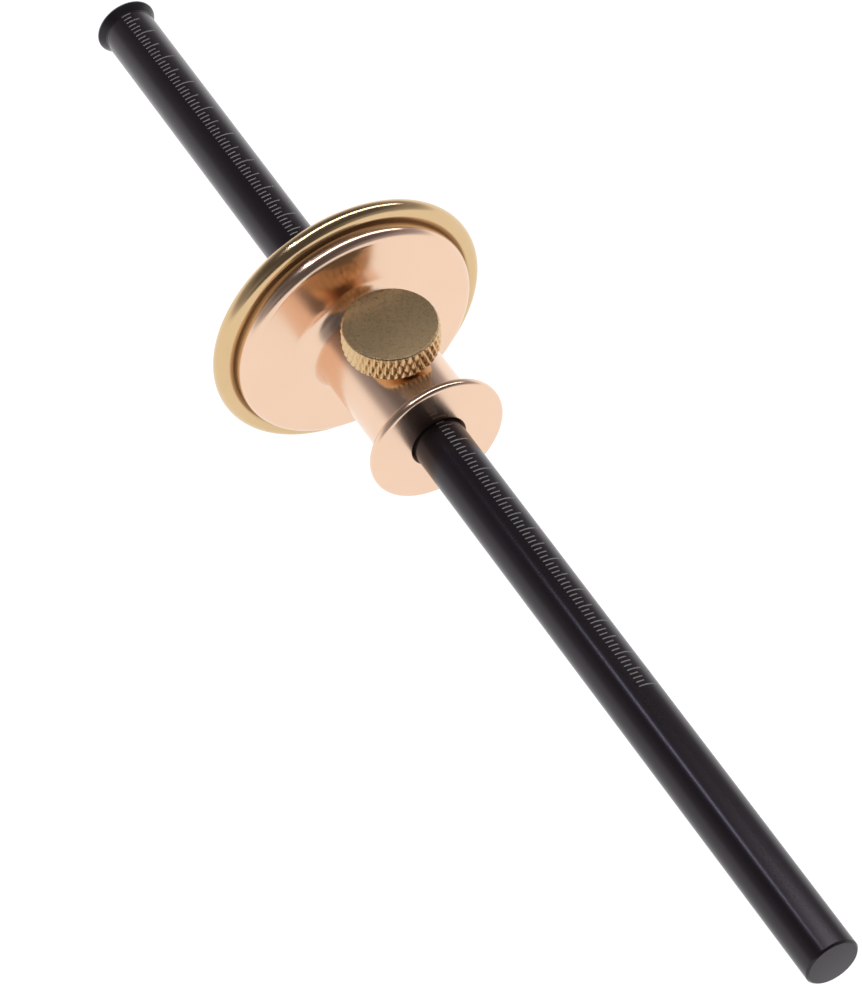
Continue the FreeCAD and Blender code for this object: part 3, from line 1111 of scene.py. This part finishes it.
class GAUGE_OT_stage(bpy.types.Operator):
    """Add the floor, the light and the camera"""

    bl_idname = "gauge.stage"
    bl_label = "Stage"

    def execute(self, context):
        stage = context.scene.gauge_stage
        build_floor(stage)
        build_world()
        add_striplight(
            "overhead_striplight", (0.08, 0.38, 1.0), (0.42, -1.8, 1.0),
            stage.overhead_width, stage.overhead_power,
        )
        add_striplight(
            "rod_striplight", (0.05, 0.153, 0.4), (0.2, 0.153, 0.4),
            stage.rod_light_width, stage.rod_light_power, (0.8, 0.84, 1.0),
        )
        build_camera(stage)
        context.scene.view_settings.view_transform = "Standard"
        return {"FINISHED"}


class GAUGE_OT_rod(bpy.types.Operator):
    """Add the rod with its scale marks and inch numbers"""

    bl_idname = "gauge.rod"
    bl_label = "Rod and scale"

    def execute(self, context):
        sizes = context.scene.gauge_rod
        colours = context.scene.gauge_finish
        build_rod(sizes, black_finish(colours))
        etched = mark_finish(colours)
        build_marks(sizes, etched)
        build_digits(sizes, etched)
        return {"FINISHED"}


class GAUGE_OT_cutter(bpy.types.Operator):
    """Add the cutting wheel and its screw"""

    bl_idname = "gauge.cutter"
    bl_label = "Cutting wheel"

    def execute(self, context):
        colours = context.scene.gauge_finish
        build_wheel(context.scene.gauge_wheel, wheel_finish(colours))
        place = (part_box("cutter_screw")[1][0], 0.0, 0.0)
        dark = screw_finish("dark_screw", (0.09, 0.09, 0.095), 0.35)
        build_screw("cutter_screw", "rod", "dark_screw", place, CUTTER_SCREW, dark)
        return {"FINISHED"}


class GAUGE_OT_fence(bpy.types.Operator):
    """Add the brass fence disc and the screws that hold it"""

    bl_idname = "gauge.fence"
    bl_label = "Fence disc"

    def execute(self, context):
        sizes = context.scene.gauge_head
        colours = context.scene.gauge_finish
        places = []
        steel = screw_finish("bright_screw", colours.steel, 0.25)
        for number in range(1, 4):
            low, high = (np.array(corner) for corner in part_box(f"fence_screw_{number}"))
            place = (high[0], (low[1] + high[1]) / 2, (low[2] + high[2]) / 2)
            places.append(place)
            build_screw(f"fence_screw_{number}", "head", "steel_screw", place, FENCE_SCREW, steel)
        build_plate(sizes, brass_finish(colours), places)
        return {"FINISHED"}


class GAUGE_OT_hub(bpy.types.Operator):
    """Add the hub and the friction ring in its bore"""

    bl_idname = "gauge.hub"
    bl_label = "Hub"

    def execute(self, context):
        colours = context.scene.gauge_finish
        build_hub(context.scene.gauge_head, gold_finish(colours))
        build_ring(rubber_finish(colours))
        return {"FINISHED"}


class GAUGE_OT_thumbscrew(bpy.types.Operator):
    """Add the knurled thumbscrew and its swivel pad"""

    bl_idname = "gauge.thumbscrew"
    bl_label = "Thumbscrew"

    def execute(self, context):
        sizes = context.scene.gauge_head
        brass = knob_brass_finish(context.scene.gauge_finish)
        build_thumbscrew(sizes, brass)
        build_pad(brass)
        return {"FINISHED"}


class GAUGE_PT_panel(bpy.types.Panel):
    """Lists the gauge's pieces"""

    bl_idname = "GAUGE_PT_panel"
    bl_label = "Marking Gauge"
    bl_space_type = "VIEW_3D"
    bl_region_type = "UI"
    bl_category = "Gauge"

    def draw(self, context):
        for operator in OPERATORS:
            self.layout.operator(operator.bl_idname)


OPERATORS = (
    GAUGE_OT_stage,
    GAUGE_OT_rod,
    GAUGE_OT_cutter,
    GAUGE_OT_fence,
    GAUGE_OT_hub,
    GAUGE_OT_thumbscrew,
)
GROUPS = {
    "gauge_rod": GAUGE_PG_rod,
    "gauge_wheel": GAUGE_PG_wheel,
    "gauge_head": GAUGE_PG_head,
    "gauge_finish": GAUGE_PG_finish,
    "gauge_stage": GAUGE_PG_stage,
}


def register():
    """Register the classes and put the settings on the scene."""
    for group in GROUPS.values():
        bpy.utils.register_class(group)
    for operator in OPERATORS:
        bpy.utils.register_class(operator)
    bpy.utils.register_class(GAUGE_PT_panel)
    for name, group in GROUPS.items():
        setattr(bpy.types.Scene, name, PointerProperty(type=group))


def unregister():
    """Take off what register added."""
    for name in GROUPS:
        delattr(bpy.types.Scene, name)
    bpy.utils.unregister_class(GAUGE_PT_panel)
    for operator in reversed(OPERATORS):
        bpy.utils.unregister_class(operator)
    for group in GROUPS.values():
        bpy.utils.unregister_class(group)


def main():
    """Register the add-on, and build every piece."""
    register()
    bpy.ops.gauge.stage()
    bpy.ops.gauge.rod()
    bpy.ops.gauge.cutter()
    bpy.ops.gauge.fence()
    bpy.ops.gauge.hub()
    bpy.ops.gauge.thumbscrew()


if __name__ == "__main__":
    main()
